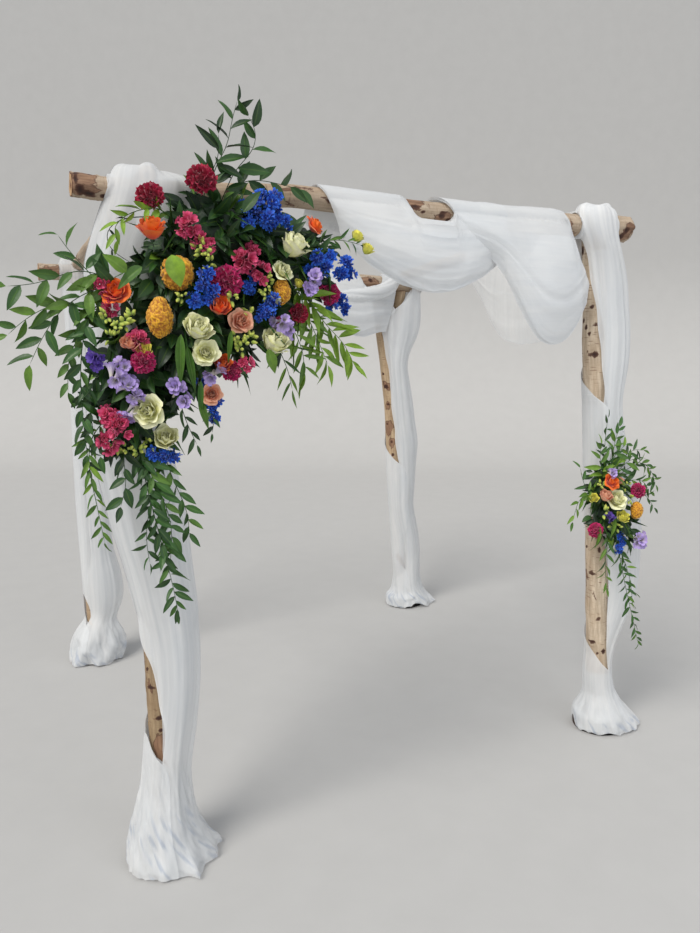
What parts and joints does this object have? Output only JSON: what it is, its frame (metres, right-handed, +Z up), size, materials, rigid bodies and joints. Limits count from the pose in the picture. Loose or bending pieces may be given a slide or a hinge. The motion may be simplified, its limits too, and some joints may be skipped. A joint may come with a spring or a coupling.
{
  "type": "chuppah canopy",
  "caption": "Chuppah canopy of peeled birch posts and beams with an open top, draped with white tulle and dressed with flower arrangements, on round cast iron feet.",
  "frame": {"origin": "on the floor, under the middle of the box that holds the whole canopy", "axes": "+X along the front beam from the tall flower arrangement to the small one, +Y from the front to the back, +Z up"},
  "size_m": [2.4442, 2.2148, 2.2842],
  "materials": {
    "bark": "matte peeled birch",
    "iron": "black, satin",
    "tulle": "sheer white tulle",
    "leaf": "fresh leaves",
    "cream_petal": "fresh petals",
    "orange_petal": "fresh petals",
    "crimson_petal": "fresh petals",
    "mustard_petal": "fresh petals",
    "pink_petal": "fresh petals"
  },
  "bodies": {
    "root": {"beam_back": "bark", "beam_front": "bark", "beam_left": "bark", "beam_right": "bark", "bloom_left_cream_low": "cream_petal", "bloom_left_cream_middle": "cream_petal", "bloom_left_cream_top": "cream_petal", "bloom_left_crimson": "crimson_petal", "bloom_left_mustard": "mustard_petal", "bloom_left_orange": "orange_petal", "bloom_left_pink": "pink_petal", "bloom_right_cream": "cream_petal", "bloom_right_orange": "orange_petal", "bloom_right_pink": "pink_petal", "cap_back_left": "tulle", "cap_back_right": "tulle", "cap_front_left": "tulle", "cap_front_right": "tulle", "fall_back_left": "tulle", "fall_back_right": "tulle", "fall_front_left": "tulle", "fall_front_right": "tulle", "foliage_left": "leaf", "foliage_right": "leaf", "foot_back_left": "iron", "foot_back_right": "iron", "foot_front_left": "iron", "foot_front_right": "iron", "post_back_left": "bark", "post_back_right": "bark", "post_front_left": "bark", "post_front_right": "bark", "skirt_back_left": "tulle", "skirt_back_right": "tulle", "skirt_front_left": "tulle", "skirt_front_right": "tulle", "spray_left_inner": "leaf", "spray_left_outer": "leaf", "spray_left_top": "leaf", "swag_back": "tulle", "swag_front_left": "tulle", "swag_front_right": "tulle", "swag_right": "tulle", "trail_left": "leaf", "trail_right": "leaf"}
  },
  "joints": []
}
